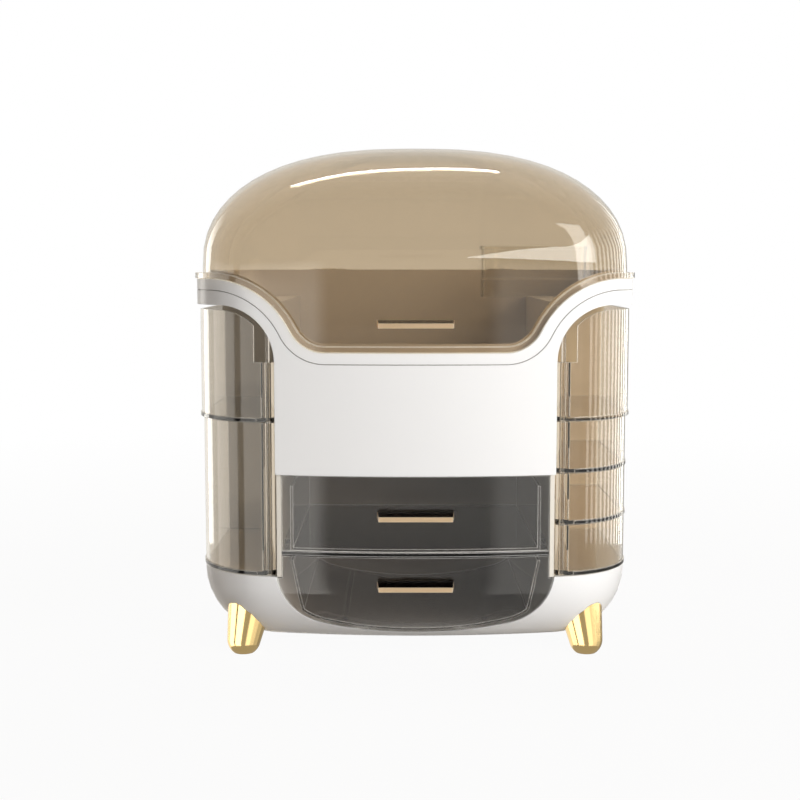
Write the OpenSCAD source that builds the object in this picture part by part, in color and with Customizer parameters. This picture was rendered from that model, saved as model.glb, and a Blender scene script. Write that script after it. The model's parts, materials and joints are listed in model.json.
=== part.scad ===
/* [Body] */
// Width of the base and the side trays
body_w = 307; // [290:1:330]
// Depth of the base from its front to its back
body_d = 212; // [196:1:236]
// Radius of the bowed front, seen from above
front_r = 551; // [450:1:800]
// Radius of the front corners, seen from above
corner_r = 60; // [50:1:70]
// Radius of the rear corners, seen from above
rear_r = 34; // [26:1:44]
// Wall of the white mouldings
wall = 3; // [2.4:0.1:3.6]
// Gap between a moving piece and its neighbours
gap = 0.6; // [0.4:0.1:1]

/* [Base] */
// Height of the underside of the base above the table
base_z = 12.6; // [11:0.2:15]
// Height of the rim of the base
base_top = 61; // [54:0.5:70]
// Radius of the rounded underside, seen from the side
belly_r = 48; // [47:1:60]
// Lowest point of the drawer cut-out in the base
bay_z = 18.2; // [17:0.2:22]
// Radius of the shallow bottom of the drawer cut-out
bay_bottom_r = 270; // [250:5:320]
// Radius of the corners of the drawer cut-out
bay_corner_r = 42; // [36:1:44]

/* [Feet] */
// Distance of each foot from the middle, at the table
foot_x = 123; // [112:1:128]
// Distance of each foot from the front or the back, at the table
foot_in = 36; // [32:1:44]
// Sideways lean of a foot in degrees
foot_lean = 9.6; // [5:0.2:12]
// Lean of a foot towards the middle of the depth in degrees
foot_rake = 5; // [0:0.5:9]
// Radius of a foot's round end
foot_r = 12; // [10:0.5:13]
// Radius of the flat that a foot stands on
foot_flat_r = 7.5; // [6:0.5:9]
// Half of the angle by which a foot widens upwards
foot_taper = 8.1; // [5:0.1:10]
// Height of the top of a foot inside the base
foot_top = 44; // [42:0.5:48]

/* [Partitions and drawers] */
// Distance of a partition's inner face from the middle
bay_half = 93.2; // [88:0.2:96]
// Thickness of a partition
part_t = 3.2; // [2.6:0.2:3.4]
// Underside of the shelf between the drawers
shelf_z = 76.6; // [72:0.2:84]
// Thickness of the shelf between the drawers
shelf_t = 2.6; // [2.2:0.2:4]
// Underside of the upper bin, just above the upper drawer
bin_z = 133; // [124:0.5:140]
// Depth of a drawer box from the inside of its front
drawer_d = 178; // [150:1:184]
// Wall of a drawer box
drawer_t = 2; // [1.6:0.1:2.6]
// Thickness of a drawer front
drawer_front_t = 2.8; // [2.2:0.1:3.4]
// Space beside a drawer box that its runners fill
drawer_side = 6.6; // [5:0.2:8]
// Height of an upper drawer's runner
runner_h = 4; // [3:0.5:6]
// How far behind the front the runners begin
runner_in = 30; // [20:1:50]
// Distance of a lower runner from the middle
runner_x = 50; // [40:1:60]

/* [Rim and cover] */
// Height of the rim at the front
rim_front_z = 217.3; // [212:0.5:224]
// Height of the rim at the sides and back
rim_side_z = 267.5; // [262:0.5:272]
// Half of the flat stretch of the rim at the front
rim_flat_x = 62; // [52:1:68]
// Radius of the hollow bend of the rim
rim_low_r = 27; // [22:1:32]
// Distance from the middle at which the rim is level again
rim_high_x = 142.7; // [136:0.5:146]
// How far the front panel reaches past the partitions beside it
panel_lap = 0.6; // [0.4:0.1:1.2]
// Height at which the arch over a side tray begins
arch_z = 210.5; // [204:0.5:214]
// Underside of the band round the sides and back
band_z = 249.5; // [246:0.5:252]
// How far the band stands out at each side
band_side = 3.6; // [3:0.1:5]
// How far the cover stands out at the front and the back
band_front = 2; // [1:0.1:3]
// Distance of the fine groove below the rim
groove_z = 7.5; // [6:0.1:9]
// Width and depth of the fine groove
groove_w = 0.5; // [0.3:0.1:0.8]

/* [Side trays] */
// Radius of the pivot boss at a tray's front inner corner
boss_r = 4.6; // [4.2:0.1:5.4]
// Radius of the pivot rod
rod_r = 1.5; // [1.2:0.1:2]
// Running clearance of a boss on its rod
rod_play = 0.08; // [0.04:0.01:0.1]
// Wall of a side tray
tray_t = 2.2; // [1.8:0.1:2.8]
// Floor of a side tray
tray_floor = 2.5; // [2:0.1:3]
// How far a tray's floor stands proud of its wall
tray_lip = 0.7; // [0.4:0.1:1]
// Height of the low fence along a tray's inner side
fence_h = 16; // [10:1:24]
// Depth from the front at which the side trays end
tray_d = 172; // [150:1:176]
// Heights of the tray floors on the right above the base rim
right_step = 36.1; // [32:0.1:38]
// Height of the upper tray's floor on the left above the base rim
left_step = 107.6; // [90:0.2:116]

/* [Lid] */
// Height of the lid above its level rim
lid_h = 95; // [80:1:110]
// Squareness of the dome, 2 is an ellipse
lid_power = 2.5; // [2:0.1:3.2]
// Wall of the lid
lid_t = 2.3; // [1.8:0.1:3]
// Thickness of the lid's flange
flange_t = 4; // [3:0.2:5]
// How far the flange stands out from the band
flange_out = 1.4; // [0.6:0.2:2]
// How far the dome's wall stands in from the band
dome_in = 4.1; // [3.6:0.1:5]
// Radius of a hinge knuckle
hinge_r = 4.5; // [4:0.1:6]
// Radius of a hinge pin
pin_r = 1.5; // [1.2:0.1:2]
// Distance of each hinge from the middle
hinge_x = 70; // [50:1:90]

/* [Handles] */
// Width of a handle
handle_w = 53.7; // [40:0.5:64]
// How far a handle stands out
handle_out = 12; // [9:0.5:14]
// Thickness of a handle
handle_t = 5.2; // [4.6:0.1:6.4]
// Height of a handle's upright front face
handle_face = 3.5; // [2.8:0.1:4]
// Depth of the slope from that face up to a handle's top
handle_slope = 6; // [4:0.5:8]
// Height of the lid's handle
lid_handle_z = 237.3; // [232:0.1:246]
// Height of the upper drawer's handle
upper_handle_z = 106; // [96:0.5:112]
// Height of the lower drawer's handle
lower_handle_z = 57.4; // [48:0.2:62]

/* [Lift-out tray] */
// Length of the lift-out tray
lift_w = 84; // [60:1:90]
// Depth of the lift-out tray
lift_d = 56; // [40:1:64]
// Height of the lift-out tray
lift_h = 27; // [18:1:32]
// Height of the foot rim under the lift-out tray
lift_foot = 13.5; // [9:0.5:15]
// Distance of the lift-out tray's middle from the middle of the body
lift_x = 95; // [90:1:97]

/* [Hidden] */
$fn = 96;

// Roundness of the long arcs
arc_fn = 720;
// Hair's breadth that keeps cuts clear of coincident faces
eps = 0.01;

// Half widths of the two outlines
half_low = body_w / 2;
panel_half = bay_half + part_t + panel_lap;
half_band = half_low + band_side;
// How much wider the upper side trays are than the lower ones
upper_out = 1.7;
half_upper = half_low + upper_out;

// The front, counted so that the bounding box is centred on the origin
hinge_gap = 0.4;
depth_all = body_d + band_front + flange_out + hinge_gap + 2 * hinge_r;
front_y = (handle_out - depth_all) / 2;
back_y = front_y + body_d;
band_y0 = front_y - band_front;
band_y1 = back_y + band_front;
// Plane behind which the rim is level all round
rim_front_d = 92;
mid_y = front_y + rim_front_d;
// A length beyond every outline
far = 400;

// The rim: a level front, a hollow bend, a round shoulder and level sides
rim_rise = rim_side_z - rim_front_z;
rim_run = rim_high_x - rim_flat_x;
rim_turn = 2 * atan(rim_rise / rim_run);
rim_high_r = rim_run / sin(rim_turn) - rim_low_r;
// Radius of the arch over the side trays
arch_r = band_z - arch_z;

// Insets from the band's outline
return_t = 2.5;
stand_t = 2;
stand_gap = 2.5;
stand_in = dome_in + lid_t + stand_gap;
stand_h = 6;
seat_gap = 0.4;
bond = 0.15;

// Pivots of the side trays
pivot_x = panel_half + gap + boss_r;
pivot_y = front_y + front_r - sqrt(pow(front_r - boss_r, 2) - pow(pivot_x, 2));
arch_gap = 3.5;
turn_in = 8;
rod_foot = 5;
tray_y1 = front_y + tray_d;
bulk_y = tray_y1 + gap;

// Hinge of the lid
hinge_y = band_y1 + flange_out + hinge_gap + hinge_r;
hinge_z = rim_side_z + seat_gap + flange_t / 2;
knuckle_w = 12;
ear_w = 7;
side_gap = 0.4;

// Lower drawer cut-out and drawer boxes
drawer_step = 0.2;
bay_half_low = bay_half + part_t + panel_lap + drawer_step;
box_half = bay_half - drawer_side;
drawer_y1 = front_y + drawer_front_t + drawer_d;
bay_y1 = drawer_y1 + 6;
deck_t = 2.5;
deck_play = 0.2;
// How far the shelf stands back from the front, and how far it reaches past a drawer box
shelf_in = 1;
shelf_past = 8;
belly_top = base_top - 3;

// A corner circle stands out of the bow by this much, so that the two curves cross cleanly
crease = 0.02;
// A shape with a bowed low side, round low corners and straight sides up to high
module bowed(half, low, high, big_r, small_r, inset = 0) {
    cx = half - small_r;
    turn = asin(cx / (big_r - small_r));
    top = low + big_r;
    cy = top - (big_r - small_r) * cos(turn) - crease;
    reach = 1.1 * big_r;
    intersection() {
        translate([0, top]) circle(big_r - inset, $fn = arc_fn);
        polygon([[-cx, cy + eps], [cx, cy + eps],
                 [reach * sin(turn), top - reach * cos(turn)],
                 [-reach * sin(turn), top - reach * cos(turn)]]);
    }
    for (s = [-1, 1]) translate([s * cx, cy]) circle(small_r - inset);
    translate([-half + inset, cy]) square([2 * (half - inset), high - cy]);
}

// Outline of the body seen from above, with its front and back lines given
module plan(half, y0, y1, inset = 0) {
    rx = half - rear_r;
    ry = y1 - rear_r;
    bowed(half, y0, ry, front_r, corner_r, inset);
    translate([-rx, ry - 1]) square([2 * rx, rear_r - inset + 1]);
    for (s = [-1, 1]) translate([s * rx, ry]) circle(rear_r - inset);
}
module low_plan(inset = 0) plan(half_low, front_y, back_y, inset);
module band_plan(inset = 0) plan(half_band, band_y0, band_y1, inset);
module band_ring(in0, in1) {
    difference() {
        band_plan(in0);
        band_plan(in1);
    }
}

// Stand a front-view outline up and give it depth from y0 to y1
module upright(y0, y1) {
    translate([0, y1, 0]) rotate([90, 0, 0]) linear_extrude(y1 - y0) children();
}

// Points along an arc from angle a0 to a1, leaving out those before step first
function arc_points(cx, cy, r, a0, a1, first, steps) =
    [for (k = [first : steps]) let (a = a0 + (a1 - a0) * k / steps)
        [cx + r * cos(a), cy + r * sin(a)]];
bend_steps = 18;
belly_steps = 7;

// Front view of all that lies under the rim, moved out by e
module under_rim(e = 0) {
    right = concat(
        arc_points(rim_flat_x, rim_front_z + rim_low_r, rim_low_r - e,
                   -90, rim_turn - 90, 0, bend_steps),
        arc_points(rim_high_x, rim_side_z - rim_high_r, rim_high_r + e,
                   90 + rim_turn, 90, 1, bend_steps),
        [[far, rim_side_z + e], [far, 0]]);
    polygon(concat(right, [for (k = [len(right) - 1 : -1 : 0]) [-right[k][0], right[k][1]]]));
}
// The same as a height, for the lid
function rim_height(x, e = 0) =
    let (a = abs(x),
         bend = rim_flat_x + (rim_low_r - e) * sin(rim_turn))
    a <= rim_flat_x ? rim_front_z + e
    : a <= bend ? rim_front_z + rim_low_r
        - sqrt(pow(rim_low_r - e, 2) - pow(a - rim_flat_x, 2))
    : a < rim_high_x ? rim_side_z - rim_high_r
        + sqrt(pow(rim_high_r + e, 2) - pow(rim_high_x - a, 2))
    : rim_side_z + e;

// Front view of the space for the right side trays, drawn in by g
module side_bay(g = 0) {
    polygon(concat(
        [[far, base_top], [panel_half + g, base_top]],
        arc_points(panel_half + arch_r, arch_z, arch_r - g, 180, 90, 0, bend_steps),
        [[far, band_z - g]]));
}

// Front view of the cover, drawn in by s
module cover_face(s = 0) {
    difference() {
        intersection() {
            under_rim(-s);
            translate([-far, bin_z + s]) square([2 * far, far]);
        }
        for (k = [0, 1]) mirror([k, 0]) side_bay(-s);
    }
}
// All that the cover's face covers: the front by its face, the rest as a level band
module cover_block(s = 0) {
    upright(band_y0 - far, mid_y) cover_face(s);
    translate([-far, mid_y - eps, band_z + s])
        cube([2 * far, far, rim_side_z - band_z - 2 * s]);
}

// Front view of the drawer cut-out in the base, drawn in by g
module bay_outline(g = 0) {
    bowed(bay_half_low, bay_z, base_top + 20, bay_bottom_r, bay_corner_r, g);
}

// Points of the body's outline, front first, drawn in by inset
function plan_points(half, y0, y1, inset, front_steps, corner_steps, rear_steps) =
    let (cx = half - corner_r,
         turn = asin(cx / (front_r - corner_r)),
         big_y = y0 + front_r,
         cy = big_y - (front_r - corner_r) * cos(turn),
         rx = half - rear_r,
         ry = y1 - rear_r)
    concat(
        arc_points(0, big_y, front_r - inset, -90 - turn, turn - 90, 0, front_steps),
        arc_points(cx, cy, corner_r - inset, turn - 90, 0, 1, corner_steps),
        arc_points(rx, ry, rear_r - inset, 0, 90, 0, rear_steps),
        arc_points(-rx, ry, rear_r - inset, 90, 180, 0, rear_steps),
        arc_points(-cx, cy, corner_r - inset, 180, 270 - turn, 0, corner_steps - 1));

// Body of the base drawn in by inset, with its rounded underside, from there up to height top
module base_form(inset = 0, top = base_top) {
    z0 = base_z + inset;
    r = belly_r - inset;
    dip = asin((belly_top - z0) / r);
    levels = concat(
        [for (k = [0 : belly_steps]) let (t = dip * (k / belly_steps - 1))
            [inset + r * (1 - cos(t)), belly_top + r * sin(t)]],
        [[inset, top]]);
    rings = [for (v = levels)
        [for (p = plan_points(half_low, front_y, back_y, v[0], 24, 9, 7)) [p[0], p[1], v[1]]]];
    n = len(rings[0]);
    last = len(rings) - 1;
    polyhedron([for (ring = rings) each ring], concat(
        [[for (i = [0 : n - 1]) i]],
        [for (k = [0 : last - 1], i = [0 : n - 1]) let (j = (i + 1) % n) each
            [[k * n + i, (k + 1) * n + i, k * n + j],
             [k * n + j, (k + 1) * n + i, (k + 1) * n + j]]],
        [[for (i = [n - 1 : -1 : 0]) last * n + i]]), convexity = 4);
}

// One foot, made larger by grow and cut off level at height top
module foot_form(side, rear, grow = 0, top = foot_top) {
    y = rear ? back_y - foot_in : front_y + foot_in;
    rake = rear ? -foot_rake : foot_rake;
    ball_z = sqrt(pow(foot_r, 2) - pow(foot_flat_r, 2));
    r0 = (foot_r + grow) * cos(foot_taper);
    h0 = -(foot_r + grow) * sin(foot_taper);
    length = foot_top + 20;
    intersection() {
        translate([side * foot_x, y, ball_z]) rotate([-rake, -side * foot_lean, 0])
            rotate_extrude() intersection() {
                translate([0, -far]) square([far, 2 * far]);
                union() {
                    circle(foot_r + grow);
                    polygon([[0, h0], [r0, h0], [r0 + (length - h0) * tan(foot_taper), length],
                             [0, length]]);
                }
            }
        translate([-far, -far, 0]) cube([2 * far, 2 * far, top]);
    }
}
function foot_axis(side, rear, z) =
    let (rise = z - sqrt(pow(foot_r, 2) - pow(foot_flat_r, 2)))
    [side * (foot_x - rise * tan(foot_lean)),
     rear ? back_y - foot_in - rise * tan(foot_rake) : front_y + foot_in + rise * tan(foot_rake)];

screw_r = 1.6;
screw_head_r = 3.2;
screw_grip = 12;
module foot_screw(side, rear, play = 0) {
    at = foot_axis(side, rear, foot_top);
    translate([at[0], at[1], foot_top - screw_grip]) {
        cylinder(r = screw_r + play, h = screw_grip + wall);
        translate([0, 0, screw_grip + wall]) cylinder(r = screw_head_r, h = 2.2);
    }
}

module base_shell() {
    color("white") difference() {
        base_form();
        difference() {
            base_form(wall, base_top + 1);
            upright(front_y - 1, bay_y1 + wall) bay_outline(-wall);
            for (s = [-1, 1], rear = [false, true])
                foot_form(s, rear, wall, foot_top + wall);
        }
        upright(front_y - far, bay_y1) bay_outline(0);
        for (s = [-1, 1], rear = [false, true]) {
            foot_form(s, rear);
            foot_screw(s, rear);
        }
    }
}

module deck(side) {
    edge = bay_half_low + wall;
    at = [side * pivot_x, pivot_y, base_top - rod_foot];
    color("white") difference() {
        union() {
            intersection() {
                translate([0, 0, base_top - deck_t]) linear_extrude(deck_t)
                    low_plan(wall + deck_play);
                translate([side > 0 ? edge : -far, -far, 0]) cube([far - edge, 2 * far, far]);
            }
            intersection() {
                translate(at) cylinder(r = boss_r, h = rod_foot);
                translate([side > 0 ? edge : -far, -far, 0]) cube([far - edge, 2 * far, far]);
                linear_extrude(far) low_plan(wall + deck_play);
            }
        }
        translate(at) translate([0, 0, -1]) cylinder(r = rod_r, h = rod_foot + 2);
    }
}

module foot(side, rear) {
    color("goldenrod") difference() {
        foot_form(side, rear);
        foot_screw(side, rear);
    }
}

module foot_screws() {
    color("silver") for (s = [-1, 1], rear = [false, true]) foot_screw(s, rear);
}

module rear_housing() {
    h = band_z - base_top;
    color("whitesmoke") translate([0, 0, base_top]) linear_extrude(h) {
        intersection() {
            difference() {
                low_plan();
                low_plan(wall);
            }
            translate([-far, bulk_y]) square([2 * far, far]);
        }
        for (s = [0, 1]) mirror([s, 0]) intersection() {
            low_plan();
            translate([bay_half + part_t, bulk_y]) square([far, wall]);
        }
    }
}

module inner_bin() {
    well = bay_half + part_t;
    color("ivory") {
        // Upstand round the whole rim, which is also the front and back of the well
        intersection() {
            translate([0, 0, bin_z]) linear_extrude(rim_side_z + stand_h - bin_z)
                band_ring(stand_in, stand_in + stand_t);
            union() {
                upright(band_y0, mid_y) under_rim(stand_h);
                translate([-far, mid_y - eps, 0]) cube([2 * far, far, rim_side_z + stand_h]);
            }
            union() {
                translate([-well, -far, 0]) cube([2 * well, 2 * far, far]);
                translate([-far, -far, band_z]) cube([2 * far, 2 * far, far]);
            }
        }
        // Floor of the well
        translate([0, 0, bin_z]) linear_extrude(return_t) intersection() {
            band_plan(stand_in);
            translate([-well, -far]) square([2 * well, 2 * far]);
        }
        for (s = [0, 1]) mirror([s, 0, 0]) {
            // Shoulder deck over the side trays
            translate([0, 0, band_z]) linear_extrude(return_t) intersection() {
                band_plan(stand_in);
                translate([bay_half, -far]) square([far, 2 * far]);
            }
            // Partition, whose front edge shows beside the drawers
            translate([0, 0, base_top]) linear_extrude(bin_z - base_top) intersection() {
                plan(half_low, front_y + 0.4, back_y - wall);
                translate([bay_half, -far]) square([part_t, 2 * far]);
            }
            translate([0, 0, bin_z - eps]) linear_extrude(band_z - bin_z + 1) intersection() {
                band_plan(stand_in);
                translate([bay_half, -far]) square([part_t, 2 * far]);
            }
        }
    }
}

module front_cover() {
    color("white") difference() {
        intersection() {
            translate([0, 0, bin_z]) linear_extrude(rim_side_z - bin_z)
                band_ring(0, stand_in);
            cover_block();
        }
        intersection() {
            translate([0, 0, bin_z]) linear_extrude(rim_side_z - bin_z)
                band_ring(wall, stand_in + 1);
            cover_block(return_t);
        }
        for (s = [-1, 1]) pivot_rod(s);
        // Fine groove that follows the rim all round
        difference() {
            union() {
                upright(band_y0 - 1, mid_y) difference() {
                    under_rim(-groove_z);
                    under_rim(-groove_z - groove_w);
                }
                translate([-far, mid_y - eps, rim_side_z - groove_z - groove_w])
                    cube([2 * far, far, groove_w]);
            }
            linear_extrude(far) band_plan(groove_w);
        }
    }
}

module drawer_shelf() {
    color("dimgrey") translate([0, 0, shelf_z]) linear_extrude(shelf_t) intersection() {
        low_plan(shelf_in);
        translate([-bay_half, front_y]) square([2 * bay_half, drawer_d + shelf_past]);
    }
}

module pivot_rod(side) {
    // Top end, inside the cover's edge above the arch
    rise = sqrt(pow(arch_r, 2) - pow(panel_half + arch_r - pivot_x, 2));
    z0 = base_top - rod_foot;
    z1 = arch_z + rise + return_t;
    translate([side * pivot_x, pivot_y, z0]) cylinder(r = rod_r, h = z1 - z0);
}

// Right side tray from height z0 to z1, with its half width and whether it meets the arch
module side_tray(z0, z1, half, arched = false) {
    boss_top = arched ? arch_z : z1;
    x0 = pivot_x - boss_r;
    module region() {
        translate([pivot_x, front_y - 2]) square([far, tray_y1 - front_y + 2]);
        translate([x0, pivot_y]) square([far, tray_y1 - pivot_y]);
    }
    module walls() {
        translate([0, 0, z0]) linear_extrude(z1 - z0) intersection() {
            difference() {
                plan(half, front_y, back_y);
                plan(half, front_y, back_y, tray_t);
            }
            region();
        }
        translate([0, 0, z0]) linear_extrude(z1 - z0) intersection() {
            plan(half, front_y, back_y);
            translate([x0, tray_y1 - tray_t]) square([far, tray_t]);
        }
    }
    difference() {
        union() {
            translate([0, 0, z0]) linear_extrude(tray_floor) {
                intersection() {
                    plan(half, front_y, back_y);
                    region();
                }
                // Lip under the walls, left out beside the rod so that the tray can turn
                intersection() {
                    plan(half, front_y, back_y, -tray_lip);
                    translate([pivot_x + turn_in, front_y - 2])
                        square([far, tray_y1 - front_y + 2]);
                }
                translate([pivot_x, pivot_y]) circle(boss_r);
            }
            if (arched) difference() {
                intersection() {
                    walls();
                    upright(front_y - 2, back_y) side_bay(arch_gap);
                }
                // The wall is lower beside the rod, so that it turns under the arch
                translate([pivot_x, pivot_y, arch_z]) cylinder(r = turn_in + 1.2, h = far);
            }
            else walls();
            translate([x0, pivot_y, z0]) cube([tray_t, tray_y1 - pivot_y, fence_h]);
            translate([pivot_x, pivot_y, z0]) cylinder(r = boss_r, h = boss_top - z0);
        }
        translate([pivot_x, pivot_y, z0 - 1])
            cylinder(r = rod_r + rod_play, h = boss_top - z0 + 2);
    }
}

function right_floor(i) = base_top + gap + i * right_step;
module tray_right(i) {
    z0 = right_floor(i);
    color("tan", 0.6)
        if (i < 3) side_tray(z0, right_floor(i + 1) - gap, half_low);
        else side_tray(z0, band_z - arch_gap, half_upper, true);
}
module tray_left_lower() {
    z0 = base_top + gap;
    color("tan", 0.6) mirror([1, 0, 0]) side_tray(z0, z0 + left_step - gap, half_low);
}
module tray_left_upper() {
    z0 = base_top + gap + left_step;
    color("tan", 0.6) mirror([1, 0, 0]) side_tray(z0, band_z - arch_gap, half_upper, true);
}

// How much lower than its front a drawer box is
box_drop = 8;
// Slab of the bowed front between two heights
module bowed_front() {
    linear_extrude(far) intersection() {
        difference() {
            low_plan();
            low_plan(drawer_front_t);
        }
        translate([-far, front_y - 1]) square([2 * far, 60]);
    }
}
peg_r = 1.8;
peg_span = 36;
// How far the pegs end behind the drawer front
peg_past = 0.6;
module pegs(z, y1) {
    for (s = [-1, 1]) translate([s * peg_span / 2, y1, z]) rotate([90, 0, 0])
        cylinder(r = peg_r, h = y1 - front_y + handle_out / 2);
}

module upper_drawer_front() {
    z0 = shelf_z + shelf_t + gap;
    w = bay_half - gap;
    color("grey", 0.5) difference() {
        intersection() {
            bowed_front();
            translate([-w, -far, z0]) cube([2 * w, far, bin_z - gap - z0]);
        }
        pegs(upper_handle_z, front_y + 10);
    }
}

module upper_drawer_box() {
    z0 = shelf_z + shelf_t + gap;
    h = bin_z - box_drop - z0;
    rail = bay_half - gap - box_half;
    color("dimgrey", 0.6) {
        difference() {
            translate([0, 0, z0]) linear_extrude(h) intersection() {
                low_plan(drawer_front_t);
                translate([-box_half, front_y]) square([2 * box_half, drawer_y1 - front_y]);
            }
            translate([drawer_t - box_half, front_y - 1, z0 + drawer_t])
                cube([2 * (box_half - drawer_t), drawer_y1 - front_y + 1 - drawer_t, h]);
        }
        for (s = [0, 1]) mirror([s, 0, 0])
            translate([box_half - eps, front_y + runner_in, z0])
                cube([rail, drawer_y1 - front_y - runner_in, runner_h]);
    }
}

module lower_drawer_front() {
    w = bay_half - gap;
    color("grey", 0.5) difference() {
        // It is curved like the belly of the base below and upright above
        intersection() {
            difference() {
                base_form(0, shelf_z);
                base_form(drawer_front_t, shelf_z + 1);
            }
            upright(front_y - 1, front_y + 60) {
                intersection() {
                    bay_outline(gap);
                    translate([-far, 0]) square([2 * far, base_top - gap]);
                }
                translate([-w, base_top - 5]) square([2 * w, shelf_z - gap - base_top + 5]);
            }
        }
        pegs(lower_handle_z, front_y + 10);
    }
}

// Front view of the lower drawer's box, drawn in by g: its sides lean by box_draft
box_draft = 7;
box_foot = 20;
runner_gap = 3.4;
module lower_box_outline(g = 0) {
    top = shelf_z - box_drop / 2;
    low_half = box_half - box_draft;
    z = bay_z + box_foot;
    intersection() {
        bay_outline(runner_gap + g);
        polygon([[g - low_half, bay_z], [low_half - g, bay_z], [low_half - g, z],
                 [box_half - g, top], [g - box_half, top], [g - low_half, z]]);
    }
}
module lower_drawer_box() {
    color("dimgrey", 0.6) {
        difference() {
            intersection() {
                upright(front_y, drawer_y1) lower_box_outline();
                base_form(drawer_front_t, shelf_z);
            }
            upright(front_y - 1, drawer_y1 - drawer_t) {
                lower_box_outline(drawer_t);
                translate([drawer_t + bond - box_half, shelf_z - box_drop / 2 - 1])
                    square([2 * (box_half - drawer_t - bond), box_drop]);
            }
        }
        // Runners that slide on the floor of the cut-out
        for (s = [-1, 1]) upright(front_y + runner_in, drawer_y1) difference() {
            intersection() {
                bay_outline(gap);
                translate([s * runner_x - drawer_t, 0]) square([2 * drawer_t, base_top]);
            }
            bay_outline(runner_gap + eps);
        }
    }
}

// A flat pull at height z, whose ends slant in and whose top slopes down to its front face
handle_slant = 1.6;
handle_root = 4;
module pull(z, y) {
    low = z - handle_t / 2;
    tip = y - handle_out;
    intersection() {
        translate([0, 0, low]) linear_extrude(handle_t)
            polygon([[-handle_w / 2, y + handle_root], [handle_w / 2, y + handle_root],
                     [handle_w / 2 - handle_slant, tip], [handle_slant - handle_w / 2, tip]]);
        translate([-handle_w, 0, 0]) rotate([90, 0, 90]) linear_extrude(2 * handle_w)
            polygon([[tip, low], [y + handle_root, low], [y + handle_root, low + handle_t],
                     [tip + handle_slope, low + handle_t], [tip, low + handle_face]]);
    }
}

module drawer_handle(z) {
    color("goldenrod") {
        difference() {
            pull(z, front_y);
            linear_extrude(far) low_plan();
        }
        pegs(z, front_y + drawer_front_t + peg_past);
    }
}

module lid_handle() {
    color("goldenrod") difference() {
        pull(lid_handle_z, band_y0 + dome_in);
        linear_extrude(far) band_plan(dome_in + bond);
    }
}

// Points of the lid's outline, moved in from the band by inset
function lid_outline(inset) = plan_points(half_band, band_y0, band_y1, inset, 60, 14, 8);

// Rings of the lid: along the rim at the front half, level at the back
function rim_ring(inset, e) =
    [for (p = lid_outline(inset))
        [p[0], p[1], p[1] < mid_y ? rim_height(p[0], e) : rim_side_z + e]];
// Going up, the outline turns little by little into a rounder one of the same width and depth
function rounder(v, a, b, share) =
    let (reach = pow(pow(abs(v[0]) / a, round_power) + pow(abs(v[1]) / b, round_power),
                     -1 / round_power))
    v * (1 + (reach - 1) * share);
round_power = 2.5;
function dome_ring(inset, z0, rise, t) =
    let (s = pow(cos(t), 2 / lid_power),
         z = z0 + rise * pow(sin(t), 2 / lid_power),
         mid = (band_y0 + band_y1) / 2,
         a = half_band - inset,
         b = (band_y1 - band_y0) / 2 - inset)
    [for (p = lid_outline(inset))
        let (v = s * rounder([p[0], p[1] - mid], a, b, 1 - pow(cos(t), 4)))
        [v[0], mid + v[1], z]];
dome_steps = 14;
dome_base = rim_side_z + seat_gap + flange_t + 3;
dome_top = rim_side_z + lid_h;
function dome_rings(inset, top) =
    [for (k = [0 : dome_steps])
        dome_ring(inset, dome_base, top - dome_base, 90 * k / (dome_steps + 1))];
module dome_lid() {
    inner = dome_in + lid_t;
    mid = (band_y0 + band_y1) / 2;
    rings = concat(
        [rim_ring(inner, seat_gap), rim_ring(-flange_out, seat_gap),
         rim_ring(-flange_out, seat_gap + flange_t), rim_ring(dome_in, seat_gap + flange_t)],
        dome_rings(dome_in, dome_top));
    lining = concat([rim_ring(inner, seat_gap)], dome_rings(inner, dome_top - lid_t));
    n = len(rings[0]);
    a = len(rings);
    b = len(lining);
    // The lining's first ring is the same as the skin's, so it is left out
    points = concat([for (r = rings) each r], [[0, mid, dome_top]],
                    [for (k = [1 : b - 1]) each lining[k]], [[0, mid, dome_top - lid_t]]);
    in0 = a * n + 1;
    function skin(k, i) = k * n + i % n;
    function inside(k, i) = k == 0 ? i % n : in0 + (k - 1) * n + i % n;
    faces = concat(
        [for (k = [0 : a - 2], i = [0 : n - 1]) each
            [[skin(k, i), skin(k + 1, i), skin(k, i + 1)],
             [skin(k, i + 1), skin(k + 1, i), skin(k + 1, i + 1)]]],
        [for (i = [0 : n - 1]) [skin(a - 1, i), a * n, skin(a - 1, i + 1)]],
        [for (k = [0 : b - 2], i = [0 : n - 1]) each
            [[inside(k, i), inside(k, i + 1), inside(k + 1, i)],
             [inside(k, i + 1), inside(k + 1, i + 1), inside(k + 1, i)]]],
        [for (i = [0 : n - 1]) [inside(b - 1, i), inside(b - 1, i + 1), in0 + (b - 1) * n]]);
    color("burlywood", 0.45) polyhedron(points, faces, convexity = 8);
}

pin_play = 0.08;
module along_x(x, r, w) {
    translate([x - w / 2, hinge_y, hinge_z]) rotate([0, 90, 0]) cylinder(r = r, h = w);
}
ear_x = knuckle_w / 2 + side_gap + ear_w / 2;
leaf_w = 30;
leaf_t = 2;
// The leaves stop this short of the dome's wall
leaf_in = 0.6;
plate_t = 2.4;
module hinge_leaf(side) {
    x = side * hinge_x;
    top = hinge_z + flange_t / 2;
    color("tan") difference() {
        union() {
            translate([x - leaf_w / 2, band_y1 - dome_in + leaf_in, top])
                cube([leaf_w, dome_in + flange_out - leaf_in, leaf_t]);
            translate([x - knuckle_w / 2, band_y1 - dome_in + leaf_in, top])
                cube([knuckle_w, hinge_y - band_y1 + dome_in - leaf_in, leaf_t]);
            along_x(x, hinge_r, knuckle_w);
        }
        along_x(x, pin_r + pin_play, knuckle_w + 2);
    }
}

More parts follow.
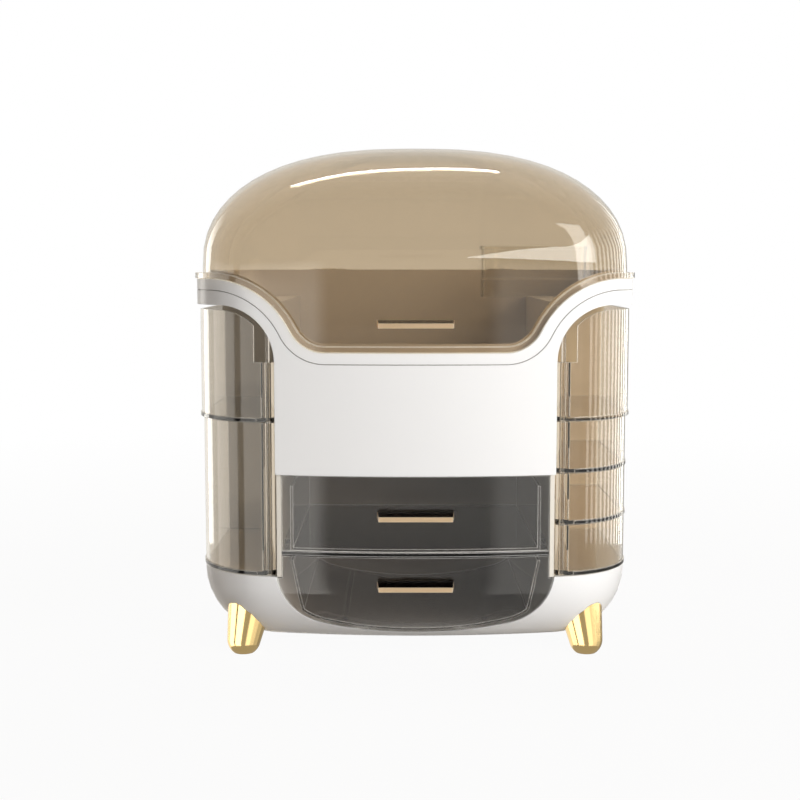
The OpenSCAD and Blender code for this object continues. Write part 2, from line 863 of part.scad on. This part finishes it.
module hinge_bracket(side) {
    x = side * hinge_x;
    w = 2 * ear_x + ear_w;
    color("white") difference() {
        union() {
            translate([x - w / 2, band_y1, band_z + 1])
                cube([w, plate_t, rim_side_z - band_z - 2]);
            for (k = [-1, 1]) {
                along_x(x + k * ear_x, hinge_r, ear_w);
                translate([x + k * ear_x - ear_w / 2, 0, 0]) rotate([90, 0, 90])
                    linear_extrude(ear_w)
                        polygon([[band_y1, band_z + 3], [band_y1, rim_side_z - 0.2],
                                 [hinge_y, rim_side_z - 0.2],
                                 [hinge_y + hinge_r * 0.7, hinge_z - hinge_r * 0.7]]);
            }
        }
        along_x(x, pin_r, w + 2);
    }
}
module hinge_pin(side) {
    color("silver") along_x(side * hinge_x, pin_r, 2 * ear_x + ear_w + 1);
}

// Rectangle with its own corner radius at each end of its length
module soft_rect(w, d, r_left, r_right) {
    for (y = [-1, 1]) {
        translate([r_left - w / 2, y * (d / 2 - r_left)]) circle(r_left);
        translate([w / 2 - r_right, y * (d / 2 - r_right)]) circle(r_right);
    }
    translate([r_left - w / 2, -d / 2]) square([w - r_left - r_right, d]);
    translate([-w / 2, r_left - d / 2]) square([w / 2, d - 2 * r_left]);
    translate([0, r_right - d / 2]) square([w / 2, d - 2 * r_right]);
}
module lift_out_tray() {
    t = 2;
    rim = 1.2;
    y = band_y1 - stand_in - stand_t - 4 - lift_d / 2;
    module outline(grow) {
        soft_rect(lift_w + 2 * grow, lift_d + 2 * grow, 20 + grow, 7 + grow);
    }
    color("white", 0.5) translate([lift_x, y, band_z + return_t]) {
        difference() {
            union() {
                linear_extrude(lift_foot + lift_h) outline(-rim);
                translate([0, 0, lift_foot + lift_h - 3]) linear_extrude(3) outline(0);
            }
            translate([0, 0, -1]) linear_extrude(lift_foot + 1) outline(-rim - t);
            translate([0, 0, lift_foot + t]) linear_extrude(lift_h) outline(-rim - t);
        }
    }
}

base_shell();
deck(-1);  // deck_left
deck(1);  // deck_right
foot(-1, false);  // foot_front_left
foot(1, false);  // foot_front_right
foot(-1, true);  // foot_rear_left
foot(1, true);  // foot_rear_right
foot_screws();
rear_housing();
inner_bin();
front_cover();
drawer_shelf();
lift_out_tray();
color("white", 0.6) pivot_rod(-1);  // pivot_rod_left
color("white", 0.6) pivot_rod(1);  // pivot_rod_right
tray_left_lower();
tray_left_upper();
tray_right(0);  // tray_right_1
tray_right(1);  // tray_right_2
tray_right(2);  // tray_right_3
tray_right(3);  // tray_right_4
upper_drawer_box();
upper_drawer_front();
drawer_handle(upper_handle_z);  // upper_drawer_handle
lower_drawer_box();
lower_drawer_front();
drawer_handle(lower_handle_z);  // lower_drawer_handle
dome_lid();
lid_handle();
hinge_leaf(-1);  // hinge_leaf_left
hinge_leaf(1);  // hinge_leaf_right
hinge_bracket(-1);  // hinge_bracket_left
hinge_bracket(1);  // hinge_bracket_right
hinge_pin(-1);  // hinge_pin_left
hinge_pin(1);  // hinge_pin_right
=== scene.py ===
import bpy
import json
import math
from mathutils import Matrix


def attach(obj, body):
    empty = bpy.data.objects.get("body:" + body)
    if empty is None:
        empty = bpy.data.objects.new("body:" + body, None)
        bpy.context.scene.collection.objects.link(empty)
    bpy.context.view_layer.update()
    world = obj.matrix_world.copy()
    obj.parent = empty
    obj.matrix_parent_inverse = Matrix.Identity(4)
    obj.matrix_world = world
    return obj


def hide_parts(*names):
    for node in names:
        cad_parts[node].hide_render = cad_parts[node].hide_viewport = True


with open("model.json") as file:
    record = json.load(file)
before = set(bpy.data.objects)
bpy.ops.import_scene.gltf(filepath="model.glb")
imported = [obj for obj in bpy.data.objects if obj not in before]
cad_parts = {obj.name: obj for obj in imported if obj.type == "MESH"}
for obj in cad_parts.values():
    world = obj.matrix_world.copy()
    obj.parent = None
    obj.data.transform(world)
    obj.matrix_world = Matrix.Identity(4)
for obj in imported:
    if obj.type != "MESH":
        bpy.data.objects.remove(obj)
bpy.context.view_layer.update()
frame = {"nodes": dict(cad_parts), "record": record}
nodes = frame["nodes"]
bodyOf = {node: body for body, members in frame["record"]["behaviour"]["bodies"].items()
          for node in members}
slotOf = {part["node"]: part["material_slot"] for part in frame["record"]["subparts"]}
bpy.ops.object.select_all(action="DESELECT")
print("frame loaded with", len(nodes), "nodes")


# a wire is one output socket, and sums and products of wires add Math nodes
class Wire:
    def __init__(self, tree, socket=None):
        self.tree = tree
        self.socket = socket

    # any node: settings first, then the values or links of its sockets
    def add(self, kind, settings=None, values=None, out=0):
        node = self.tree.nodes.new(kind)
        for name, value in (settings or {}).items():
            if name == "stops":
                ramp = node.color_ramp
                while len(ramp.elements) < len(value):
                    ramp.elements.new(0.5)
                for stop, (at, colour) in zip(ramp.elements, value):
                    stop.position = at
                    stop.color = colour
            else:
                setattr(node, name, value)
        for name, value in (values or {}).items():
            if isinstance(value, Wire):
                self.tree.links.new(value.socket, node.inputs[name])
            else:
                node.inputs[name].default_value = value
        return Wire(self.tree, node.outputs[out] if len(node.outputs) else None)

    def maths(self, operation, first, second=0.0):
        return self.add("ShaderNodeMath", {"operation": operation}, {0: first, 1: second})

    def __add__(self, other):
        return self.maths("ADD", self, other)

    def __sub__(self, other):
        return self.maths("SUBTRACT", self, other)

    def __rsub__(self, other):
        return self.maths("SUBTRACT", other, self)

    def __mul__(self, other):
        return self.maths("MULTIPLY", self, other)

    __radd__ = __add__
    __rmul__ = __mul__


def startFinish(name):
    finish = bpy.data.materials.new(name)
    finish.use_nodes = True
    finish.node_tree.nodes.clear()
    wire = Wire(finish.node_tree)
    place = wire.add("ShaderNodeTexCoord", out="Object")
    return finish, wire, place


def closeFinish(wire, shader):
    wire.add("ShaderNodeOutputMaterial", None, {"Surface": shader})


def cloud(wire, place, scale, detail=2.0):
    return wire.add("ShaderNodeTexNoise", None,
                    {"Vector": place, "Scale": scale, "Detail": detail})


def blend(wire, factor, first, second):  # colours or wires
    first, second = (end if isinstance(end, Wire) else (*end, 1) for end in (first, second))
    return wire.add("ShaderNodeMix", {"data_type": "RGBA"},
                    {"Factor": factor, 6: first, 7: second}, out=2)


def slope(wire, value, start, end, low=0.0, high=1.0):  # level before start and after end
    return wire.add("ShaderNodeMapRange", None, {
        "Value": value, "From Min": start, "From Max": end, "To Min": low, "To Max": high})


def mixShaders(wire, factor, first, second):
    return wire.add("ShaderNodeMixShader", None, {0: factor, 1: first, 2: second})


# what every plastic and metal shares
edgeLook = {"samples": 4, "plasticTurn": 0.97}
plasticLook = {"ior": 1.49, "grainDetail": 3.0, "grainLift": 0.25, "coatRough": 0.04,
               "grooveShadeSamples": 8, "flowDetail": 1.0, "flowLift": 0.3, "edgeRough": 0.3}
metalLook = {"patchScale": 40.0, "lineDetail": 3.0, "lineLift": 0.2, "facesUp": 0.5}


def roundEdges(wire, radius):
    return wire.add("ShaderNodeBevel", {"samples": edgeLook["samples"]}, {"Radius": radius})


def turned(wire, edges, past):  # 1 where a rounded edge leaves the face's own normal
    flat = wire.add("ShaderNodeNewGeometry", out="True Normal")
    agree = wire.add("ShaderNodeVectorMath", {"operation": "DOT_PRODUCT"},
                     {0: edges, 1: flat}, out="Value")
    return wire.maths("LESS_THAN", agree, past)


def grainySkin(wire, place, look):
    grain = cloud(wire, place, look["grainScale"], plasticLook["grainDetail"])
    return wire.add("ShaderNodeBump", None, {
        "Strength": plasticLook["grainLift"], "Distance": look["grainDepth"],
        "Height": grain, "Normal": roundEdges(wire, look["edge"])})


def mouldedPlastic(name, look):
    finish, wire, place = startFinish(name)
    patches = cloud(wire, place, look["patchScale"])
    free = wire.add("ShaderNodeAmbientOcclusion",
                    {"samples": plasticLook["grooveShadeSamples"], "only_local": True},
                    {"Distance": look["grooveShadeReach"]}, out="AO")
    grooveShade = slope(wire, free, look["grooveShadeFrom"], look["grooveShadeTo"])  # painted shade: grooves and creases that the piece itself hems in are darkened
    colour = blend(wire, patches, look["colour"], look["shade"])
    closeFinish(wire, wire.add("ShaderNodeBsdfPrincipled", None, {
        "Base Color": blend(wire, grooveShade, look["grooveShadeColour"], colour),
        "Roughness": look["rough"] + look["roughSpread"] * patches,
        "IOR": plasticLook["ior"], "Normal": grainySkin(wire, place, look),
        "Specular IOR Level": look["shine"], "Coat Weight": look["coat"],
        "Coat Roughness": plasticLook["coatRough"]}))
    return finish


def clearPlastic(name, look):
    finish, wire, place = startFinish(name)
    patches = cloud(wire, place, look["patchScale"])
    flow = cloud(wire, place, look["flowScale"], plasticLook["flowDetail"])
    skin = wire.add("ShaderNodeBump", None, {
        "Strength": plasticLook["flowLift"], "Distance": look["flowDepth"], "Height": flow})
    solid = wire.add("ShaderNodeBsdfPrincipled", None, {
        "Base Color": blend(wire, patches, look["tint"], look["tintDeep"]),
        "Roughness": look["rough"] + look["roughSpread"] * patches,
        "IOR": plasticLook["ior"], "Transmission Weight": 1.0, "Normal": skin})
    # painted highlight: a pale matt shader is mixed in along rounded edges, standing in for
    # light caught in the edges
    pale = wire.add("ShaderNodeBsdfPrincipled", None, {
        "Base Color": (*look["edgeHighlightColour"], 1), "Roughness": plasticLook["edgeRough"]})
    rim = turned(wire, roundEdges(wire, look["edge"]), edgeLook["plasticTurn"])
    lit = mixShaders(wire, rim * look["edgeHighlightShare"], solid, pale)
    through = wire.add("ShaderNodeBsdfTransparent", None, {"Color": (*look["lets"], 1)})
    shadowRay = wire.add("ShaderNodeLightPath", out="Is Shadow Ray")
    closeFinish(wire, mixShaders(wire, shadowRay, lit, through))
    return finish


def shadedBinPlastic(name, look, shadeInside):  # partition edges keep their plain colour below; above them the bin's inside is darkened with painted shade
    finish, wire, place = startFinish(name)
    patches = cloud(wire, place, shadeInside["patchScale"])
    height = wire.add("ShaderNodeSeparateXYZ", None, {"Vector": place}, out="Z")
    paintedShadeAbove = wire.maths("GREATER_THAN", height, shadeInside["from"])
    below = blend(wire, patches, look["colour"], look["shade"])
    above = blend(wire, patches, shadeInside["colour"], shadeInside["shade"])
    closeFinish(wire, wire.add("ShaderNodeBsdfPrincipled", None, {
        "Base Color": blend(wire, paintedShadeAbove, below, above),
        "Roughness": look["rough"] + look["roughSpread"] * patches,
        "IOR": plasticLook["ior"], "Normal": grainySkin(wire, place, look)}))
    return finish


def platedMetal(name, look):
    finish, wire, place = startFinish(name)
    stretched = wire.add("ShaderNodeMapping", None, {"Vector": place, "Scale": look["stretch"]})
    lines = cloud(wire, stretched, look["lineScale"], metalLook["lineDetail"])
    patches = cloud(wire, place, metalLook["patchScale"])
    colour = blend(wire, patches, look["colour"], look["shade"])
    rough = look["rough"] + look["roughSpread"] * lines
    if "topDarkReflection" in look:  # painted reflection: faces that look up get a near-black colour for the dark they mirror, and a lower roughness
        facing = wire.add("ShaderNodeTexCoord", out="Normal")
        rise = wire.add("ShaderNodeSeparateXYZ", None, {"Vector": facing}, out="Z")
        darkReflectionMask = wire.maths("GREATER_THAN", rise, metalLook["facesUp"])
        colour = blend(wire, darkReflectionMask, colour, look["topDarkReflection"])
        rough = rough * (1.0 - darkReflectionMask * (1.0 - look["topPolish"]))
    edges = roundEdges(wire, look["edge"])
    metalEdgeHighlight = turned(wire, edges, look["highlightEdgeAt"])  # painted highlight: rounded edges get a brighter colour
    skin = wire.add("ShaderNodeBump", None, {
        "Strength": metalLook["lineLift"], "Distance": look["lineDepth"],
        "Height": lines, "Normal": edges})
    closeFinish(wire, wire.add("ShaderNodeBsdfPrincipled", None, {
        "Base Color": blend(wire, metalEdgeHighlight, colour, look["edgeHighlightColour"]),
        "Metallic": 1.0, "Roughness": rough, "Normal": skin}))
    return finish


# in the white and cream looks the groove keys (reach, from, to and colour) set a painted shade
# in grooves
whiteLook = {"colour": (0.895, 0.90, 0.90), "shade": (0.875, 0.88, 0.88), "patchScale": 9.0,
             "grainScale": 900.0, "grainDepth": 0.00002, "rough": 0.30, "roughSpread": 0.10,
             "coat": 0.08, "shine": 0.3, "edge": 0.0006, "grooveShadeReach": 0.003,
             "grooveShadeFrom": 0.35, "grooveShadeTo": 0.8, "grooveShadeColour": (0.16, 0.13, 0.11)}
creamLook = {"colour": (0.79, 0.75, 0.68), "shade": (0.75, 0.71, 0.63), "patchScale": 11.0,
             "grainScale": 900.0, "grainDepth": 0.00002, "rough": 0.26, "roughSpread": 0.10,
             "coat": 0.1, "shine": 0.5, "edge": 0.0005, "grooveShadeReach": 0.002,
             "grooveShadeFrom": 0.3, "grooveShadeTo": 0.7, "grooveShadeColour": (0.22, 0.19, 0.16)}
# the next look is a painted shade: a darker colour inside the bin, above the partition edges
binShadeLook = {"colour": (0.42, 0.36, 0.30), "shade": (0.37, 0.315, 0.26), "patchScale": 7.0,
           "from": 0.1335}  # height in metres where the painted shade inside the bin starts
# in the clear looks the edge colour and its share set a painted edge highlight
lidLook = {"tint": (0.735, 0.655, 0.535), "tintDeep": (0.70, 0.615, 0.495), "patchScale": 5.0,
           "flowScale": 14.0, "flowDepth": 0.0002, "rough": 0.015, "roughSpread": 0.02,
           "lets": (0.90, 0.87, 0.80), "edge": 0.0008, "edgeHighlightShare": 0.7,
           "edgeHighlightColour": (0.95, 0.90, 0.80)}
trayLook = {"tint": (0.895, 0.835, 0.74), "tintDeep": (0.855, 0.79, 0.695), "patchScale": 8.0,
            "flowScale": 22.0, "flowDepth": 0.0002, "rough": 0.02, "roughSpread": 0.03,
            "lets": (0.82, 0.755, 0.65), "edge": 0.0006, "edgeHighlightShare": 0.5,
            "edgeHighlightColour": (0.92, 0.87, 0.79)}
clearLook = {"tint": (0.93, 0.915, 0.88), "tintDeep": (0.90, 0.88, 0.84), "patchScale": 14.0,
             "flowScale": 30.0, "flowDepth": 0.0002, "rough": 0.02, "roughSpread": 0.03,
             "lets": (0.96, 0.95, 0.94), "edge": 0.0004, "edgeHighlightShare": 0.3,
             "edgeHighlightColour": (0.95, 0.94, 0.92)}
smokeLook = {"tint": (0.475, 0.425, 0.365), "tintDeep": (0.43, 0.38, 0.315), "patchScale": 9.0,
             "flowScale": 20.0, "flowDepth": 0.0002, "rough": 0.03, "roughSpread": 0.04,
             "lets": (0.55, 0.50, 0.45), "edge": 0.0007, "edgeHighlightShare": 0.8,
             "edgeHighlightColour": (0.95, 0.93, 0.90)}
frontLook = {"tint": (0.88, 0.86, 0.83), "tintDeep": (0.84, 0.815, 0.78), "patchScale": 9.0,
             "flowScale": 20.0, "flowDepth": 0.0002, "rough": 0.015, "roughSpread": 0.02,
             "lets": (0.90, 0.88, 0.86), "edge": 0.0006, "edgeHighlightShare": 0.7,
             "edgeHighlightColour": (0.95, 0.94, 0.91)}
# in the metal looks the edge colour is a painted highlight along rounded edges
# the pull's near-black top colour is a painted dark reflection on faces that look up
pullLook = {"colour": (0.98, 0.74, 0.49), "shade": (0.95, 0.70, 0.45), "stretch": (0.02, 1, 1),
            "lineScale": 2400.0, "lineDepth": 0.000006, "rough": 0.28, "roughSpread": 0.06,
            "edge": 0.0004, "topDarkReflection": (0.04, 0.025, 0.02), "topPolish": 0.2,
            "highlightEdgeAt": 0.96, "edgeHighlightColour": (0.98, 0.90, 0.76)}
footLook = {"colour": (0.95, 0.71, 0.34), "shade": (0.92, 0.67, 0.30), "stretch": (1, 1, 0.1),
            "lineScale": 500.0, "lineDepth": 0.000015, "rough": 0.10, "roughSpread": 0.06,
            "edge": 0.0005, "highlightEdgeAt": 0.9, "edgeHighlightColour": (0.97, 0.86, 0.62)}
steelLook = {"colour": (0.62, 0.61, 0.59), "shade": (0.55, 0.54, 0.53), "stretch": (1, 1, 0.1),
             "lineScale": 900.0, "lineDepth": 0.00002, "rough": 0.24, "roughSpread": 0.12,
             "edge": 0.0002, "highlightEdgeAt": 0.9, "edgeHighlightColour": (0.75, 0.74, 0.72)}

finishes = {
    "white_plastic": mouldedPlastic("whitePlastic", whiteLook),
    "cream_plastic": mouldedPlastic("creamPlastic", creamLook),
    "lid_plastic": clearPlastic("lidPlastic", lidLook),
    "amber_plastic": clearPlastic("amberPlastic", trayLook),
    "clear_plastic": clearPlastic("clearPlastic", clearLook),
    "smoke_plastic": clearPlastic("smokePlastic", smokeLook),
    "clear_smoke_plastic": clearPlastic("clearSmokePlastic", frontLook),
    "handle_gold": platedMetal("pullGold", pullLook),
    "foot_gold": platedMetal("footGold", footLook),
    "steel": platedMetal("steel", steelLook),
}
# the inner bin's finish carries a painted shade inside the bin
shadedBinFinish = shadedBinPlastic("shadedBinPlastic", creamLook, binShadeLook)
print("finishes:", len(finishes) + 1)

smoothLook = {"nodes": ("dome_lid", "base_shell", "lower_drawer_front", "lower_drawer_box"),
              "angle": 32, "mergeWithin": 0.00001}  # degrees, metres


def smoothCopy(node):  # stands in for a node with many flat faces
    copy = nodes[node].copy()
    copy.data = nodes[node].data.copy()
    copy.name = node + "_smooth"
    bpy.context.collection.objects.link(copy)
    copy.parent = None
    copy.matrix_world.identity()
    bpy.ops.object.select_all(action="DESELECT")
    copy.select_set(True)
    bpy.context.view_layer.objects.active = copy
    bpy.ops.mesh.customdata_custom_splitnormals_clear()
    bpy.ops.object.mode_set(mode="EDIT")
    bpy.ops.mesh.select_all(action="SELECT")
    bpy.ops.mesh.remove_doubles(threshold=smoothLook["mergeWithin"])
    bpy.ops.object.mode_set(mode="OBJECT")
    bpy.ops.object.shade_smooth_by_angle(angle=math.radians(smoothLook["angle"]))
    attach(copy, bodyOf[node])
    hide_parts(node)


for node, piece in nodes.items():
    for place in piece.material_slots:
        place.material = shadedBinFinish if node == "inner_bin" else finishes[slotOf[node]]
for node in smoothLook["nodes"]:
    smoothCopy(node)
print("nodes dressed")


def rayKinds(wire):  # camera, glossy and see-through rays, each 0 or 1
    camera, glossy, through = (wire.add("ShaderNodeLightPath", out=name) for name in
                               ("Is Camera Ray", "Is Glossy Ray", "Is Transmission Ray"))
    return camera, glossy * (1.0 - through), through


floorLook = {"size": 14.0, "sunk": 0.0002, "colour": (0.54, 0.50, 0.46),
             "mottle": (0.51, 0.47, 0.43), "mottleScale": 3.0,
             "glow": 0.95, "shadowTo": 0.35, "whiteFrom": 1.3}
bpy.ops.object.select_all(action="DESELECT")
bpy.ops.mesh.primitive_plane_add(size=floorLook["size"], location=(0, 0, -floorLook["sunk"]))
floor = bpy.context.object
floor.name = "floor"
floorPaint, wire, place = startFinish("floorPaint")
mottle = cloud(wire, place, floorLook["mottleScale"])
matt = wire.add("ShaderNodeBsdfDiffuse", None, {
    "Color": blend(wire, mottle, floorLook["colour"], floorLook["mottle"])})
glow = wire.add("ShaderNodeEmission", None, {"Color": (1, 1, 1, 1), "Strength": 1.0})
gap = wire.add("ShaderNodeBsdfTransparent")
camera, glossy, through = rayKinds(wire)
reach = wire.add("ShaderNodeVectorMath", {"operation": "LENGTH"}, {0: place}, out="Value")
far = slope(wire, reach, floorLook["shadowTo"], floorLook["whiteFrom"],
            floorLook["glow"])  # past the shadow the floor is plain white
white = mixShaders(wire, (camera + through) * far, matt, glow)
closeFinish(wire, mixShaders(wire, glossy, white, gap))
floor.data.materials.append(floorPaint)
print("floor laid")


def around(degrees):  # a direction round from the front, as a share of the full turn
    return 0.5 + degrees / 360


def sector(wire, turn, first, last):  # 1 between two directions
    return (wire.maths("GREATER_THAN", turn, around(first))
            * wire.maths("LESS_THAN", turn, around(last)))


# directions are degrees round from the front, heights go from -1 to 1
ambientLook = {"before": 0.08, "behind": 0.20, "colour": (1.0, 0.85, 0.75)}
throughLook = {"before": 0.6, "dimAt": -0.35, "whiteAt": 0.25}
mirrorLook = {"before": 0.16, "share": 0.75, "colour": (1.0, 0.975, 0.92),
              "bandPower": 2.6, "bandTop": 0.10, "below": 0.40, "underAt": -0.55}
lineLook = {"power": 5.0, "foot": -0.2, "fadeFrom": 0.15, "fadeTo": 0.55,
            "stripes": 44, "stripeGap": 0.1, "stripesFrom": 56, "stripesTo": 150,
            "streakFrom": -139, "streakTo": -122}
windowLook = {"power": 9.0, "from": 10, "to": 66, "foot": 0.10, "slope": 2.3}
bands = [(-180, 0.35), (-109, 0.45), (-107, 1.0), (-68, 1.0), (-67, 0.05), (-58, 0.05),
         (-57, 1.0), (-18, 1.0), (-16, 0.16), (14, 0.16), (17, 0.6), (45, 0.6),
         (47, 0.4), (76, 0.4), (79, 0.25), (113, 0.25), (116, 0.12), (180, 0.15)]

world = bpy.data.worlds.new("studio")
world.use_nodes = True
world.node_tree.nodes.clear()
bpy.context.scene.world = world
wire = Wire(world.node_tree)
camera, glossy, through = rayKinds(wire)
facing = wire.add("ShaderNodeTexCoord", out="Generated")
across, depth, height = (wire.add("ShaderNodeSeparateXYZ", None, {"Vector": facing}, out=axis)
                         for axis in "XYZ")
turn = wire.maths("ARCTAN2", across, 0.0 - depth) * (0.5 / math.pi) + 0.5

# what see-through rays and mirrored rays meet: white behind, dimmer before
seen, room = (slope(wire, depth, throughLook["dimAt"], throughLook["whiteAt"], look["before"])
              for look in (throughLook, mirrorLook))

# pale and dark panels all round, below the level of the eye
panels = wire.add("ShaderNodeValToRGB", {"stops": [
    (around(degrees), (level, level, level, 1)) for degrees, level in bands]}, {"Fac": turn})
under = wire.maths("LESS_THAN", height, mirrorLook["underAt"])
low = panels * mirrorLook["bandPower"] * (1.0 - under) + mirrorLook["below"] * under
above = slope(wire, height, 0.0, mirrorLook["bandTop"])
plain = low * (1.0 - above) + room * above * mirrorLook["share"]

# fine upright lines that die away upwards, and one window
raised = (wire.maths("GREATER_THAN", height, lineLook["foot"])
          * slope(wire, height, lineLook["fadeFrom"], lineLook["fadeTo"], 1.0, 0.0))
wave = wire.maths("SINE", turn * (2 * math.pi * lineLook["stripes"]))
stripes = (wire.maths("GREATER_THAN", wave, lineLook["stripeGap"])
           * sector(wire, turn, lineLook["stripesFrom"], lineLook["stripesTo"]))
streak = sector(wire, turn, lineLook["streakFrom"], lineLook["streakTo"])
rise = (turn - around(windowLook["from"])) * windowLook["slope"]
window = (sector(wire, turn, windowLook["from"], windowLook["to"])
          * wire.maths("GREATER_THAN", height, windowLook["foot"])
          * wire.maths("LESS_THAN", height - windowLook["foot"], rise))
bright = (stripes + streak) * raised * lineLook["power"] + window * windowLook["power"]

mirrored = wire.maths("MAXIMUM", plain, bright)
ambient = slope(wire, depth, -1.0, 1.0, ambientLook["before"], ambientLook["behind"])
level = (camera + through * seen + glossy * mirrored
         + (1.0 - camera - through - glossy) * ambient)
tinted = blend(wire, camera + through, ambientLook["colour"], (1, 1, 1))
tinted = blend(wire, glossy, tinted, mirrorLook["colour"])
backdrop = wire.add("ShaderNodeBackground", None, {"Color": tinted, "Strength": level})
wire.add("ShaderNodeOutputWorld", None, {"Surface": backdrop})
print("world made with", len(bands), "band stops")

boxes = {
    "keyBox": {"at": (1.15, -1.05, 0.75), "aim": (0, 0, 0.16), "size": (0.55, 1.1),
               "power": 8.0, "colour": (1.0, 0.995, 0.985), "mirrored": True},
    "frontFill": {"at": (1.0, -1.65, 0.5), "aim": (0, 0, 0.16), "size": (1.2, 0.9),
                  "power": 26.0, "colour": (0.99, 0.995, 1.0), "mirrored": False},
    "backFill": {"at": (0.2, 1.85, 0.8), "aim": (0, 0, 0.16), "size": (1.2, 0.9),
                 "power": 14.0, "colour": (1.0, 0.985, 0.96), "mirrored": False},
    "topStrip": {"at": (-0.08, 0.23, 1.35), "aim": (0, 0, 0.2), "size": (0.8, 0.06),
                 "power": 4.0, "colour": (1.0, 0.98, 0.95), "mirrored": True},
}


def softbox(name, look):
    bpy.ops.object.light_add(type="AREA", location=look["at"])
    lamp = bpy.context.object
    lamp.name = name
    lamp.data.shape = "RECTANGLE"
    lamp.data.size, lamp.data.size_y = look["size"]
    lamp.data.energy = look["power"]
    lamp.data.color = look["colour"]
    lamp.visible_glossy = lamp.visible_transmission = look["mirrored"]
    dx, dy, dz = (t - a for t, a in zip(look["aim"], look["at"]))
    lamp.rotation_euler = (math.atan2(math.hypot(dx, dy), -dz), 0,
                           math.atan2(dy, dx) - math.pi / 2)


for name, look in boxes.items():
    softbox(name, look)
print("lamps:", len(boxes))

cameraLook = {"at": (-0.0107, -1.0292, 0.2766), "down": 5.63, "lens": 61.26, "sensor": 36}
bpy.ops.object.camera_add(location=cameraLook["at"],
                          rotation=(math.radians(90 - cameraLook["down"]), 0, 0))
viewer = bpy.context.object
viewer.data.sensor_width = cameraLook["sensor"]
viewer.data.lens = cameraLook["lens"]
bpy.context.scene.camera = viewer
bpy.context.scene.view_settings.view_transform = "Standard"
print("camera set")
